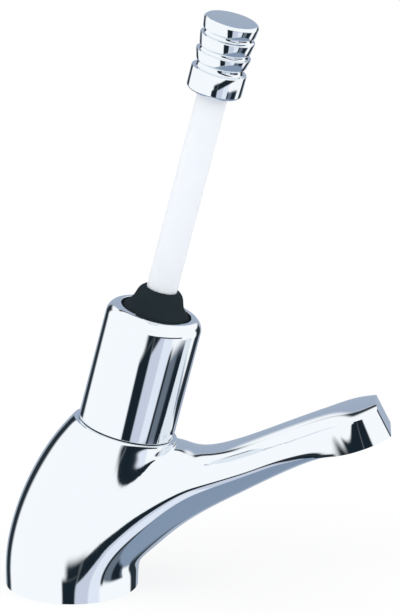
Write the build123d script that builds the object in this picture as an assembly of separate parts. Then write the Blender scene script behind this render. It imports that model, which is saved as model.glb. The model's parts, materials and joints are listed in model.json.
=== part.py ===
"""A self-closing basin tap worked by a joystick lever.

Millimetres, +Z up, +X towards the spout. The origin is the centre of the base on the deck, and the
tap is symmetric about the XZ plane. The head leans towards the spout: its pieces are turned about
one leaning axis, and their levels are measured along it from the point where it meets the deck.
"""
import os
from math import cos, pi, radians, sin, sqrt, tan

from build123d import *

# Stance
HEAD_TILT = 14.0  # degrees from vertical, towards the spout
HEAD_FOOT = 5.2  # where the leaning axis meets the deck, from the base's centre

# Outside of the body
BASE_RADIUS = 26.3
RIM_LEVEL = 67.0
RIM_RADIUS = 21.9
RIM_EDGE = 2.6
SPOUT_REACH = 125.3
SPOUT_HEIGHT = 75.0
SPOUT_WIDTH = 26.8
CROWN_SLOPE = 7.0  # degrees, where the top meets its round corners
NOSE_TURN = 16.0  # radius in plan where the flanks turn in
NOSE_CORNER = 3.0
NOSE_SAG = 1.0  # how far the middle of the end stands ahead of its corners
NOSE_START = 26.0  # the nose is shaped within this length

# Sections of the tower from base to rim: share of the height, of the rim's offset, of the way from
# base radius to rim radius, and of the tilt
TOWER_SHARES = (
    (0.00, 0.00, 0.00, 0.0),
    (0.14, 0.00, 0.02, 0.0),
    (0.34, 0.06, 0.20, 0.1),
    (0.56, 0.24, 0.46, 0.4),
    (0.80, 0.60, 0.78, 0.8),
    (1.00, 1.00, 1.00, 1.0),
)

# Sections of the spout from inside the tower to past the tip: crest (share of reach, share of
# height), keel (the same), half width, upper corner radius (share of the half width), waist (share
# of the section's height where the flank turns under) and sharpness of the lower corner (0 is a half
# ellipse, 1 a square edge)
SPOUT_SHARES = (
    (0.200, 0.780, 0.156, 0.060, 1.46, 0.85, 0.62, 0.0),
    (0.300, 0.790, 0.240, 0.160, 1.30, 0.80, 0.62, 0.0),
    (0.362, 0.735, 0.309, 0.285, 1.16, 0.62, 0.60, 0.0),
    (0.415, 0.705, 0.405, 0.395, 1.06, 0.50, 0.54, 0.0),
    (0.500, 0.745, 0.520, 0.495, 1.01, 0.46, 0.50, 0.0),
    (0.600, 0.812, 0.630, 0.592, 1.00, 0.44, 0.43, 0.2),
    (0.700, 0.876, 0.735, 0.677, 1.00, 0.43, 0.36, 0.5),
    (0.790, 0.930, 0.830, 0.745, 1.00, 0.42, 0.30, 1.0),
    (0.870, 0.975, 0.915, 0.797, 1.00, 0.42, 0.28, 1.0),
    (0.950, 1.020, 1.005, 0.847, 1.00, 0.44, 0.28, 1.0),
)

# Nose of the spout from below the keel to above the crest: tip (share of reach), level (share of
# height), where the flank turns in (share of reach) and half width of the end (share of half width)
NOSE_SHARES = (
    (1.022, 0.690, 0.895, 0.73),
    (1.002, 0.810, 0.880, 0.71),
    (0.979, 0.925, 0.862, 0.67),
    (0.938, 1.025, 0.835, 0.60),
    (0.880, 1.130, 0.795, 0.50),
)

# Bores of the body
INLET_THREAD_RADIUS = 8.33
INLET_THREAD_DEPTH = 11.0
INLET_BOSS_WALL = 2.6
STUD_OFFSET = 14.5
STUD_THREAD_RADIUS = 4.0
STUD_THREAD_DEPTH = 14.0
STUD_BOSS_WALL = 2.5
UNDERSIDE_RADIUS = 19.0
UNDERSIDE_DEPTH = 8.0
FILTER_POCKET_RADIUS = 7.2
FILTER_POCKET_DEPTH = 2.0
FILTER_SIEVE = 0.6
FILTER_RIM = 1.2
FILTER_HOLE = 0.7
FILTER_RINGS = 2
FEED_OFFSET = 2.5
FEED_RADIUS = 4.6
FEED_TOP = 20.0
NOSE_BORE_RADIUS = 10.0
NOSE_BORE_BOTTOM = 17.0
CHAMBER_FLOOR = 33.0
CHAMBER_RADIUS = 15.5
HEAD_THREAD_RADIUS = 17.0
HEAD_THREAD_BOTTOM = 58.0
WATERWAY_RADIUS = 4.0
WATERWAY_START_SHARES = (0.24, 0.46)
WATERWAY_END_SHARES = (0.87, 0.86)

# Outlet
OUTLET_SHARE = 0.905
OUTLET_RADIUS = 9.25
OUTLET_DEPTH = 9.0
SPOUT_UNDER_ANGLE = 19.5

# Gasket under the base
GASKET_OUTER = 24.2
GASKET_INNER = 20.4
GASKET_HEIGHT = 1.6

# Clearances
RUNNING = 0.05
FREE = 0.1
SEAT_GAP = 0.05
OVERRUN = 2.0

# Cartridge
SEAT_LEVEL = 29.5
SEAT_WALL = 2.5
SEAT_LIP = 0.6
SEAT_RADIUS = 5.0
NOSE_BOTTOM = 22.0
NOSE_WALL = 1.9
NOSE_GROOVE_LEVEL = 24.6
NOSE_RING_SECTION = 0.95
CARTRIDGE_WALL = 3.0
CARTRIDGE_PLAY = 0.3
CARTRIDGE_RELIEF = 1.4
WINDOW_BOTTOM = 34.0
WINDOW_TOP = 40.0
WINDOW_WIDTH = 9.0
GUIDE_FLOOR = 41.0
GUIDE_FLOOR_WALL = 4.0
CARTRIDGE_THREAD_TOP = 70.0
CARTRIDGE_TOP = 76.0
JOINT_THREAD_RADIUS = 15.0
CHAMBER_CAP_HEIGHT = 5.0
SPANNER_HOLE = 1.2
SPANNER_DEPTH = 2.5
CARTRIDGE_GASKET_HEIGHT = 1.0
STEM_RADIUS = 3.0
STEM_SPIGOT_RADIUS = 2.0
NEEDLE_OFFSET = 5.2
NEEDLE_RADIUS = 0.9

# Moving parts of the cartridge
WASHER_RADIUS = 6.8
WASHER_HEIGHT = 3.0
CUP_WALL = 0.6
CUP_FLOOR = 1.6
STEM_SPIGOT_HEIGHT = 2.0
SCREW_HEAD_RADIUS = 3.6
SCREW_HEAD_HEIGHT = 1.5
SCREW_SHANK_RADIUS = 1.2
SCREW_END_GAP = 1.0
PISTON_TOP = 66.0
PISTON_HEIGHT = 4.0
LIP_SEAL_HEIGHT = 2.0
LIP_SEAL_INNER = 7.5
LIP_SEAL_FLARE = 0.6
LIP_SEAL_LIP = 0.8
CLIP_HEIGHT = 0.7
CLIP_RADIUS = 8.5
SPRING_WIRE = 1.6
SPRING_RADIUS = 9.0
SPRING_TURNS = 5

# Lever socket
BALL_DEPTH = 20.7  # ball centre below the top of the collar
BALL_RADIUS = 10.0
SLIP_WALL = 2.0
SLIP_REACH = 48.0  # degrees from the axis
PLUNGER_SEAT_WALL = 2.5
PLUNGER_RADIUS = 13.3
SOCKET_HEIGHT = 6.0
SOCKET_CHAMFER = 1.5
SOCKET_NUT_HEIGHT = 4.0
SOCKET_NUT_BORE = 10.5
SOCKET_SLOT = 2.5
HOUSING_RADIUS = 17.0
BALL_SPIGOT_RADIUS = 3.5
BALL_SPIGOT_HEIGHT = 14.0

# Sleeve
COLLAR_RADIUS = 18.95
COLLAR_LENGTH = 49.6
COLLAR_EDGE = 4.7
COLLAR_LIP = 2.6
COLLAR_OPENING = 14.0
COLLAR_MOUTH_EDGE = 0.6
COLLAR_FIT = 0.1
COLLAR_RING_LEVEL = 80.0
COLLAR_RING_SECTION = 0.7

# Boot
BOOT_STAND = 9.5  # top of the boot above the collar
BOOT_WALL = 1.3
BOOT_FLANGE_RADIUS = 16.6
BOOT_FLANGE_HEIGHT = 1.5
BOOT_ROD_GAP = 0.15
CLAMP_RING_HEIGHT = 1.4
CLAMP_RING_BORE = 13.0

# Side of the boot from its top, as shares of its height down to the sleeve's lip and of its throat
BOOT_SHARES = (
    (0.00, 0.465),
    (0.08, 0.580),
    (0.24, 0.690),
    (0.40, 0.748),
    (0.60, 0.795),
    (0.68, 0.855),
    (0.82, 0.940),
    (0.92, 0.985),
)

# Lever
ROD_RADIUS = 6.0
ROD_START = 6.0  # above the ball's centre
KNOB_BOTTOM = 206.6
KNOB_LENGTH = 29.8
KNOB_RADIUS = 10.9
KNOB_EDGE = 0.9
KNOB_SOCKET = 12.0
KNOB_STUD_RADIUS = 2.5
KNOB_STUD_DEPTH = 9.0

# Side of the knob from its top, as shares of its length and radius
KNOB_SHARES = (
    (0.163, 0.955),
    (0.170, 0.880),
    (0.217, 0.880),
    (0.237, 1.000),
    (0.393, 0.925),
    (0.407, 0.880),
    (0.450, 0.880),
    (0.455, 1.000),
    (0.597, 0.905),
    (0.612, 0.850),
    (0.680, 0.850),
    (0.692, 1.000),
)

# Aerator
AERATOR_WALL = 1.6
AERATOR_LIP = 0.8
AERATOR_INSERT_HEIGHT = 5.0
AERATOR_WASHER_HEIGHT = 1.5
AERATOR_HOLE = 0.9
AERATOR_HOLE_SHARES = ((6, 0.38), (12, 0.72))  # count, and share of the insert's radius

# Values that follow from the sizes above
TILT = radians(HEAD_TILT)
COLLAR_TOP = RIM_LEVEL + COLLAR_LENGTH
BALL_LEVEL = COLLAR_TOP - BALL_DEPTH
CARTRIDGE_RADIUS = CHAMBER_RADIUS - CARTRIDGE_PLAY
TIMING_RADIUS = CARTRIDGE_RADIUS - CARTRIDGE_WALL
GUIDE_TOP = GUIDE_FLOOR + GUIDE_FLOOR_WALL
PISTON_BOTTOM = PISTON_TOP - PISTON_HEIGHT
SLIP_RADIUS = BALL_RADIUS + RUNNING + SLIP_WALL
PLUNGER_BOTTOM = BALL_LEVEL - SLIP_RADIUS - RUNNING - PLUNGER_SEAT_WALL
HOUSING_TOP = COLLAR_TOP - COLLAR_LIP - BOOT_FLANGE_HEIGHT - CLAMP_RING_HEIGHT
SOCKET_TOP = BALL_LEVEL + SOCKET_HEIGHT
KNOB_TOP = KNOB_BOTTOM + KNOB_LENGTH

lean_across = (cos(TILT), 0, -sin(TILT))
head = Plane(origin=(HEAD_FOOT, 0, 0), x_dir=lean_across, z_dir=(sin(TILT), 0, cos(TILT)))


def turned(*outline):
    """A solid turned about the local Z axis from (radius, level) points."""
    return revolve(Plane.XZ * make_face(Polyline(*outline, close=True)), Axis.Z)


def ring(outer, inner, bottom, top):
    """A plain tube or, with no inner radius, a plain disc."""
    return turned((inner, bottom), (outer, bottom), (outer, top), (inner, top))


def o_ring(groove_radius, section, level):
    """A round-section ring whose inside lies on a groove's floor."""
    circle = Plane.XZ * Pos(groove_radius + section, level) * Circle(section)
    return revolve(circle, Axis.Z)


def head_point(level, side=0.0):
    """The point of the XZ plane at a level of the leaning axis, moved sideways towards +X."""
    return HEAD_FOOT + level * sin(TILT) + side * cos(TILT), level * cos(TILT) - side * sin(TILT)


def tower():
    """The leaning tower, from the round base to the round rim."""
    rim_x, rim_z = head_point(RIM_LEVEL)
    sections = []
    for height, offset, taper, turn in TOWER_SHARES:
        lean = turn * TILT
        place = Plane(origin=(offset * rim_x, 0, height * rim_z), z_dir=(sin(lean), 0, cos(lean)))
        sections.append(place * Circle(BASE_RADIUS + taper * (RIM_RADIUS - BASE_RADIUS)))
    solid = loft(sections)
    top = solid.faces().sort_by(Axis(head.origin, head.z_dir))[-1]
    solid = fillet(top.edges(), RIM_EDGE)
    return solid


def spout_section(crest, keel, half_width, round_share, waist, sharpness):
    """One closed section of the spout: crowned top, round upper corners, flanks and a keel."""
    height = sqrt((crest[0] - keel[0]) ** 2 + (crest[1] - keel[1]) ** 2)
    up = ((crest[0] - keel[0]) / height, 0, (crest[1] - keel[1]) / height)
    place = Plane(origin=(keel[0], 0, keel[1]), x_dir=(0, 1, 0), z_dir=(up[2], 0, -up[0]))
    fall = tan(radians(CROWN_SLOPE))
    corner = round_share * half_width
    inset = half_width - corner
    brow = height - inset * fall / 2
    low = waist * height
    octant_share = 1 - sqrt(0.5)
    pull_share = tan(pi / 8)
    bend = (half_width * (1 - octant_share * (1 - sharpness)), low * octant_share * (1 - sharpness))
    pull_side = (half_width, low * (1 - pull_share - (0.5 - pull_share) * sharpness))
    pull_keel = (half_width * (pull_share + (0.5 - pull_share) * sharpness), 0)
    side = [
        [(0, 0), pull_keel, bend],
        [bend, pull_side, (half_width, low)],
        [(half_width, low), (half_width, brow - corner)],
        [(half_width, brow - corner), (half_width, brow - fall * corner), (inset, brow)],
    ]
    other = [[(-x, y) for x, y in reversed(points)] for points in reversed(side)]
    crown = [(inset, brow), (0, height + inset * fall / 2), (-inset, brow)]
    edges = [Bezier(*points) for points in (*side, crown, *other)]
    return place * make_face(Wire(edges))


def spout():
    """The spout, lofted from inside the tower to past the tip, with its nose cut to shape."""
    sections = []
    for crest_x, crest_z, keel_x, keel_z, width, *form in SPOUT_SHARES:
        crest = (crest_x * SPOUT_REACH, crest_z * SPOUT_HEIGHT)
        keel = (keel_x * SPOUT_REACH, keel_z * SPOUT_HEIGHT)
        sections.append(spout_section(crest, keel, width * SPOUT_WIDTH / 2, *form))
    solid = loft(sections)
    outside = Pos(SPOUT_REACH, 0, SPOUT_HEIGHT) * Box(2 * NOSE_START, 2 * SPOUT_WIDTH, 2 * SPOUT_HEIGHT)
    return solid - (outside - nose_block())


def nose_block():
    """A block whose flanks turn in towards a slightly crowned end that leans back as it rises."""
    half = SPOUT_WIDTH / 2 + FREE / 4
    sections = []
    for tip_share, level, turn_share, end_share in NOSE_SHARES:
        tip, turn, narrow = tip_share * SPOUT_REACH, turn_share * SPOUT_REACH, end_share * SPOUT_WIDTH / 2
        corner = tip - NOSE_SAG
        flank = [(corner, narrow), (turn, half), (0, half)]
        back = Polyline(*flank, *[(x, -y) for x, y in reversed(flank)])
        end = ThreePointArc((corner, -narrow), (tip, 0), (corner, narrow))
        face = make_face(Wire([*back.edges(), *end.edges()]))
        face = fillet([v for v in face.vertices() if abs(v.X - turn) < FREE], NOSE_TURN)
        face = fillet([v for v in face.vertices() if abs(v.X - corner) < FREE], NOSE_CORNER)
        sections.append(Pos(0, 0, level * SPOUT_HEIGHT) * face)
    return loft(sections)


def outlet_plane():
    """The plane of the outlet's mouth, with its Z axis pointing out of it."""
    rise = radians(SPOUT_UNDER_ANGLE)
    keels = [(s[2] * SPOUT_REACH, s[3] * SPOUT_HEIGHT) for s in SPOUT_SHARES[-3:]]
    centre_x = OUTLET_SHARE * SPOUT_REACH
    near, far = (keels[0], keels[1]) if centre_x < keels[1][0] else (keels[1], keels[2])
    share = (centre_x - near[0]) / (far[0] - near[0])
    centre_z = near[1] + share * (far[1] - near[1])
    down = (sin(rise), 0, -cos(rise))
    return Plane(origin=(centre_x, 0, centre_z), x_dir=(cos(rise), 0, sin(rise)), z_dir=down)


def body_casting():
    """Tower and spout in one casting, with its bores and the hollow under the base."""
    solid = tower() + spout() - head * ring(COLLAR_RADIUS + FREE, 0, RIM_LEVEL, COLLAR_TOP)
    solid -= head * ring(CHAMBER_RADIUS, 0, CHAMBER_FLOOR, RIM_LEVEL + OVERRUN)
    solid -= head * ring(HEAD_THREAD_RADIUS, 0, HEAD_THREAD_BOTTOM, RIM_LEVEL + OVERRUN)
    solid -= head * ring(NOSE_BORE_RADIUS, 0, NOSE_BORE_BOTTOM, CHAMBER_FLOOR + OVERRUN)
    bosses = ring(INLET_THREAD_RADIUS + INLET_BOSS_WALL, 0, 0, UNDERSIDE_DEPTH)
    bosses += Pos(-STUD_OFFSET) * ring(STUD_THREAD_RADIUS + STUD_BOSS_WALL, 0, 0, UNDERSIDE_DEPTH)
    solid -= ring(UNDERSIDE_RADIUS, 0, -OVERRUN, UNDERSIDE_DEPTH) - bosses
    solid -= ring(GASKET_OUTER, GASKET_INNER, -OVERRUN, GASKET_HEIGHT)
    pocket_top = INLET_THREAD_DEPTH + FILTER_POCKET_DEPTH
    solid -= ring(INLET_THREAD_RADIUS, 0, -OVERRUN, INLET_THREAD_DEPTH)
    solid -= ring(FILTER_POCKET_RADIUS, 0, 0, pocket_top)
    solid -= Pos(FEED_OFFSET) * ring(FEED_RADIUS, 0, 0, FEED_TOP)
    solid -= Pos(-STUD_OFFSET) * ring(STUD_THREAD_RADIUS, 0, -OVERRUN, STUD_THREAD_DEPTH)
    start = (WATERWAY_START_SHARES[0] * SPOUT_REACH, 0, WATERWAY_START_SHARES[1] * SPOUT_HEIGHT)
    end = (WATERWAY_END_SHARES[0] * SPOUT_REACH, 0, WATERWAY_END_SHARES[1] * SPOUT_HEIGHT)
    run = Vector(*end) - Vector(*start)
    solid -= Plane(origin=start, z_dir=run) * ring(WATERWAY_RADIUS, 0, 0, run.length)
    solid -= outlet_plane() * ring(OUTLET_RADIUS, 0, -OUTLET_DEPTH, OVERRUN)
    return solid


def base_gasket():
    """Flat ring in the groove under the base, flush with the casting once the tap is tightened."""
    return ring(GASKET_OUTER - FREE, GASKET_INNER + FREE, 0, GASKET_HEIGHT)


def inlet_filter():
    """Strainer in its pocket over the inlet thread: a rim and a flat sieve."""
    outer = FILTER_POCKET_RADIUS - FREE
    sieve = ring(outer, 0, INLET_THREAD_DEPTH, INLET_THREAD_DEPTH + FILTER_SIEVE)
    rim = ring(outer, outer - FILTER_RIM, INLET_THREAD_DEPTH, INLET_THREAD_DEPTH + FILTER_POCKET_DEPTH)
    hole = ring(FILTER_HOLE, 0, INLET_THREAD_DEPTH - OVERRUN, INLET_THREAD_DEPTH + OVERRUN)
    step = (outer - FILTER_RIM) / (FILTER_RINGS + 0.5)
    holes = [Pos(0, 0) * hole]
    for row in range(1, FILTER_RINGS + 1):
        holes += [place * hole for place in PolarLocations(row * step, 6 * row)]
    return sieve + rim - holes


def cartridge_body():
    """Turned brass body: nose with the valve seat, window zone, guide floor and timing chamber."""
    nose = NOSE_BORE_RADIUS - FREE
    groove = NOSE_BORE_RADIUS - 2 * NOSE_RING_SECTION
    groove_top = NOSE_GROOVE_LEVEL + 2 * NOSE_RING_SECTION + 2 * FREE
    relief = CARTRIDGE_RADIUS - CARTRIDGE_RELIEF
    seat_top = SEAT_LEVEL + SEAT_WALL
    solid = turned(
        (SEAT_RADIUS, SEAT_LEVEL),
        (SEAT_RADIUS + SEAT_LIP, SEAT_LEVEL),
        (SEAT_RADIUS + 2 * SEAT_LIP, SEAT_LEVEL + SEAT_LIP),
        (nose - NOSE_WALL, SEAT_LEVEL + SEAT_LIP),
        (nose - NOSE_WALL, NOSE_BOTTOM),
        (nose, NOSE_BOTTOM),
        (nose, NOSE_GROOVE_LEVEL),
        (groove, NOSE_GROOVE_LEVEL),
        (groove, groove_top),
        (nose, groove_top),
        (nose, CHAMBER_FLOOR),
        (relief, CHAMBER_FLOOR),
        (relief, GUIDE_FLOOR),
        (CARTRIDGE_RADIUS, GUIDE_FLOOR + CARTRIDGE_RELIEF),
        (CARTRIDGE_RADIUS, HEAD_THREAD_BOTTOM + CARTRIDGE_GASKET_HEIGHT),
        (HEAD_THREAD_RADIUS - RUNNING, HEAD_THREAD_BOTTOM + CARTRIDGE_GASKET_HEIGHT),
        (HEAD_THREAD_RADIUS - RUNNING, CARTRIDGE_THREAD_TOP),
        (JOINT_THREAD_RADIUS, CARTRIDGE_THREAD_TOP),
        (JOINT_THREAD_RADIUS, CARTRIDGE_TOP),
        (TIMING_RADIUS, CARTRIDGE_TOP),
        (TIMING_RADIUS, GUIDE_TOP),
        (STEM_RADIUS + RUNNING, GUIDE_TOP),
        (STEM_RADIUS + RUNNING, GUIDE_FLOOR),
        (TIMING_RADIUS, GUIDE_FLOOR),
        (TIMING_RADIUS, seat_top),
        (SEAT_RADIUS, seat_top),
    )
    middle = (WINDOW_BOTTOM + WINDOW_TOP) / 2
    window = Pos(0, 0, middle) * Box(2 * CHAMBER_RADIUS, WINDOW_WIDTH, WINDOW_TOP - WINDOW_BOTTOM)
    solid -= window
    solid -= Rot(0, 0, 90) * window
    solid -= Pos(NEEDLE_OFFSET) * ring(NEEDLE_RADIUS + FREE, 0, GUIDE_FLOOR - OVERRUN, GUIDE_TOP + OVERRUN)
    return head * solid


def nose_o_ring():
    """Seal between the cartridge's nose and the inlet bore."""
    groove = NOSE_BORE_RADIUS - 2 * NOSE_RING_SECTION
    section = NOSE_RING_SECTION - RUNNING / 2
    return head * o_ring(groove, section, NOSE_GROOVE_LEVEL + NOSE_RING_SECTION + FREE)


def cartridge_gasket():
    """Fibre washer between the cartridge's thread and the body's ledge."""
    top = HEAD_THREAD_BOTTOM + CARTRIDGE_GASKET_HEIGHT
    return head * ring(HEAD_THREAD_RADIUS - FREE, CHAMBER_RADIUS, HEAD_THREAD_BOTTOM, top)


def chamber_cap():
    """Ring screwed into the timing chamber's mouth, with two spanner holes. It guides the stem."""
    bottom = CARTRIDGE_TOP - CHAMBER_CAP_HEIGHT
    solid = ring(TIMING_RADIUS, STEM_RADIUS + RUNNING, bottom, CARTRIDGE_TOP)
    middle = (TIMING_RADIUS + STEM_RADIUS) / 2
    hole = ring(SPANNER_HOLE, 0, CARTRIDGE_TOP - SPANNER_DEPTH, CARTRIDGE_TOP + OVERRUN)
    solid -= [Pos(middle) * hole, Pos(-middle) * hole]
    return head * solid


def timing_needle():
    """Slotted metering screw in the guide floor."""
    solid = turned(
        (0, GUIDE_FLOOR + NEEDLE_RADIUS),
        (NEEDLE_RADIUS, GUIDE_FLOOR + 2 * NEEDLE_RADIUS),
        (NEEDLE_RADIUS, GUIDE_TOP),
        (0, GUIDE_TOP),
    )
    solid -= Pos(0, 0, GUIDE_TOP) * Box(2 * NEEDLE_RADIUS, NEEDLE_RADIUS / 2, NEEDLE_RADIUS)
    return head * Pos(NEEDLE_OFFSET) * solid


def valve_stem():
    """Stem from the valve washer up into the plunger cap, with a spigot at each end."""
    tip = SEAT_LEVEL - SEAT_GAP
    foot = tip - WASHER_HEIGHT - CUP_FLOOR
    top = PLUNGER_BOTTOM + STEM_SPIGOT_HEIGHT
    solid = turned(
        (SCREW_SHANK_RADIUS, foot),
        (STEM_SPIGOT_RADIUS, foot),
        (STEM_SPIGOT_RADIUS, tip),
        (STEM_RADIUS, tip),
        (STEM_RADIUS, PLUNGER_BOTTOM),
        (STEM_SPIGOT_RADIUS, PLUNGER_BOTTOM),
        (STEM_SPIGOT_RADIUS, top),
        (0, top),
        (0, tip + WASHER_HEIGHT),
        (SCREW_SHANK_RADIUS, tip + WASHER_HEIGHT),
    )
    return head * solid


def valve_washer():
    """Rubber washer that closes on the seat from below."""
    top = SEAT_LEVEL - SEAT_GAP
    return head * ring(WASHER_RADIUS, STEM_SPIGOT_RADIUS, top - WASHER_HEIGHT, top)


def washer_cup():
    """Shallow cup that backs the washer."""
    top = SEAT_LEVEL - SEAT_GAP
    floor = top - WASHER_HEIGHT
    solid = turned(
        (STEM_SPIGOT_RADIUS, floor - CUP_FLOOR),
        (WASHER_RADIUS + CUP_WALL, floor - CUP_FLOOR),
        (WASHER_RADIUS + CUP_WALL, top - CUP_WALL - SEAT_LIP),
        (WASHER_RADIUS, top - CUP_WALL - SEAT_LIP),
        (WASHER_RADIUS, floor),
        (STEM_SPIGOT_RADIUS, floor),
    )
    return head * solid


def washer_screw():
    """Screw up the stem's end that clamps washer and cup."""
    seat = SEAT_LEVEL - SEAT_GAP - WASHER_HEIGHT - CUP_FLOOR
    shank_top = SEAT_LEVEL - SEAT_GAP + WASHER_HEIGHT - SCREW_END_GAP
    solid = turned(
        (0, seat - SCREW_HEAD_HEIGHT),
        (SCREW_HEAD_RADIUS, seat - SCREW_HEAD_HEIGHT),
        (SCREW_HEAD_RADIUS, seat),
        (SCREW_SHANK_RADIUS, seat),
        (SCREW_SHANK_RADIUS, shank_top),
        (0, shank_top),
    )
    slot = Box(2 * SCREW_HEAD_RADIUS, SCREW_SHANK_RADIUS / 2, SCREW_HEAD_HEIGHT)
    solid -= Pos(0, 0, seat - SCREW_HEAD_HEIGHT) * slot
    return head * solid


def piston():
    """Timing piston on the stem, with a step for the seal and the clip."""
    step = PISTON_TOP + LIP_SEAL_HEIGHT
    solid = turned(
        (STEM_RADIUS, PISTON_BOTTOM),
        (TIMING_RADIUS - FREE, PISTON_BOTTOM),
        (TIMING_RADIUS - FREE, PISTON_TOP),
        (LIP_SEAL_INNER, PISTON_TOP),
        (LIP_SEAL_INNER, step),
        (STEM_RADIUS, step),
    )
    return head * solid


def lip_seal():
    """Cup seal on the piston, its lip flared to the chamber wall."""
    top = PISTON_TOP + LIP_SEAL_HEIGHT
    outer = TIMING_RADIUS - RUNNING
    solid = turned(
        (LIP_SEAL_INNER, PISTON_TOP),
        (outer - LIP_SEAL_FLARE, PISTON_TOP),
        (outer, top),
        (outer - LIP_SEAL_LIP, top),
        (outer - LIP_SEAL_LIP - LIP_SEAL_FLARE, PISTON_TOP + LIP_SEAL_HEIGHT / 2),
        (LIP_SEAL_INNER, PISTON_TOP + LIP_SEAL_HEIGHT / 2),
    )
    return head * solid


def seal_clip():
    """Open clip on the stem over the piston."""
    bottom = PISTON_TOP + LIP_SEAL_HEIGHT
    solid = ring(CLIP_RADIUS, STEM_RADIUS, bottom, bottom + CLIP_HEIGHT)
    gap = Pos(-CLIP_RADIUS, 0, bottom) * Box(2 * CLIP_RADIUS, STEM_RADIUS, 2 * CLIP_HEIGHT)
    return head * (solid - gap)


def spring_path():
    """One unbroken helix of tangent arcs, two to each quarter turn."""
    bottom = GUIDE_TOP + SPRING_WIRE / 2 + RUNNING
    rise = PISTON_BOTTOM - SPRING_WIRE / 2 - RUNNING - bottom
    slope = rise / (2 * pi * SPRING_TURNS * SPRING_RADIUS)

    def at(quarter):
        angle = quarter * pi / 2
        height = bottom + slope * SPRING_RADIUS * angle
        place = Vector(SPRING_RADIUS * cos(angle), SPRING_RADIUS * sin(angle), height)
        return place, Vector(-sin(angle), cos(angle), slope).normalized()

    arcs = []
    for quarter in range(4 * SPRING_TURNS):
        (start, way), (end, end_way) = at(quarter), at(quarter + 1)
        chord, both = end - start, way + end_way
        spread = 2 * (1 - way.dot(end_way))
        reach = (-chord.dot(both) + sqrt(chord.dot(both) ** 2 + spread * chord.dot(chord))) / spread
        joint = (start + way * reach + end - end_way * reach) * 0.5
        turn = (end - end_way * reach - start - way * reach).normalized()
        arcs += [TangentArc(start, joint, tangent=way), TangentArc(joint, end, tangent=turn)]
    return arcs


def return_spring():
    """Closing spring between the guide floor and the piston."""
    arcs = spring_path()
    path = Wire([arc.edge() for arc in arcs])
    start = Plane(origin=path @ 0, z_dir=path % 0)
    solid = sweep(start * Circle(SPRING_WIRE / 2), path=path)
    least = (PISTON_BOTTOM - GUIDE_TOP - SPRING_WIRE - 2 * RUNNING) / SPRING_TURNS - SPRING_WIRE
    print(f"least gap between the spring's turns: {least:.2f} mm")
    return head * solid


def plunger_cap():
    """Sliding cup on the stem, hollowed to a sphere about the ball's centre."""
    rim = BALL_LEVEL - SLIP_RADIUS * cos(radians(SLIP_REACH)) - FREE
    solid = ring(PLUNGER_RADIUS, 0, PLUNGER_BOTTOM, rim)
    solid -= Pos(0, 0, BALL_LEVEL) * Sphere(SLIP_RADIUS + RUNNING)
    solid -= ring(STEM_SPIGOT_RADIUS, 0, PLUNGER_BOTTOM - OVERRUN, PLUNGER_BOTTOM + STEM_SPIGOT_HEIGHT)
    return head * solid


def slip_washer():
    """Spherical washer between the ball and the plunger cap."""
    reach = radians(SLIP_REACH)
    inner = BALL_RADIUS + RUNNING
    outer = SLIP_RADIUS
    outline = Wire([
        CenterArc((0, BALL_LEVEL), outer, -90, SLIP_REACH).edge(),
        Line((outer * sin(reach), BALL_LEVEL - outer * cos(reach)),
             (inner * sin(reach), BALL_LEVEL - inner * cos(reach))).edge(),
        CenterArc((0, BALL_LEVEL), inner, SLIP_REACH - 90, -SLIP_REACH).edge(),
        Line((0, BALL_LEVEL - inner), (0, BALL_LEVEL - outer)).edge(),
    ])
    return head * revolve(Plane.XZ * make_face(outline), Axis.Z)


def socket_ring():
    """Upper seat of the ball, held between the barrel's shoulder and the nut."""
    solid = ring(JOINT_THREAD_RADIUS, 0, BALL_LEVEL, SOCKET_TOP)
    solid -= Pos(0, 0, BALL_LEVEL) * Sphere(BALL_RADIUS + RUNNING)
    mouth = solid.faces().sort_by(Axis.Z)[-1].inner_wires()[0]
    return head * chamfer(mouth.edges(), SOCKET_CHAMFER)


def socket_nut():
    """Threaded ring over the socket ring, slotted for a key."""
    top = SOCKET_TOP + SOCKET_NUT_HEIGHT
    solid = ring(JOINT_THREAD_RADIUS, SOCKET_NUT_BORE, SOCKET_TOP, top)
    solid -= Pos(0, 0, top) * Box(2 * HOUSING_RADIUS, SOCKET_SLOT, SOCKET_SLOT)
    return head * solid


def lever_housing():
    """Barrel screwed over the cartridge: plunger bore, socket thread and the seat of the boot."""
    groove = HOUSING_RADIUS + COLLAR_FIT - 2 * COLLAR_RING_SECTION
    groove_half = COLLAR_RING_SECTION + FREE
    solid = turned(
        (JOINT_THREAD_RADIUS, CARTRIDGE_THREAD_TOP),
        (HOUSING_RADIUS, CARTRIDGE_THREAD_TOP),
        (HOUSING_RADIUS, COLLAR_RING_LEVEL - groove_half),
        (groove, COLLAR_RING_LEVEL - groove_half),
        (groove, COLLAR_RING_LEVEL + groove_half),
        (HOUSING_RADIUS, COLLAR_RING_LEVEL + groove_half),
        (HOUSING_RADIUS, HOUSING_TOP),
        (JOINT_THREAD_RADIUS, HOUSING_TOP),
        (JOINT_THREAD_RADIUS, BALL_LEVEL),
        (PLUNGER_RADIUS + RUNNING, BALL_LEVEL),
        (PLUNGER_RADIUS + RUNNING, CARTRIDGE_TOP),
        (JOINT_THREAD_RADIUS, CARTRIDGE_TOP),
    )
    return head * solid


def collar_o_ring():
    """Seal between the barrel and the sleeve."""
    groove = HOUSING_RADIUS + COLLAR_FIT - 2 * COLLAR_RING_SECTION
    return head * o_ring(groove, COLLAR_RING_SECTION - RUNNING / 2, COLLAR_RING_LEVEL)


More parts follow.
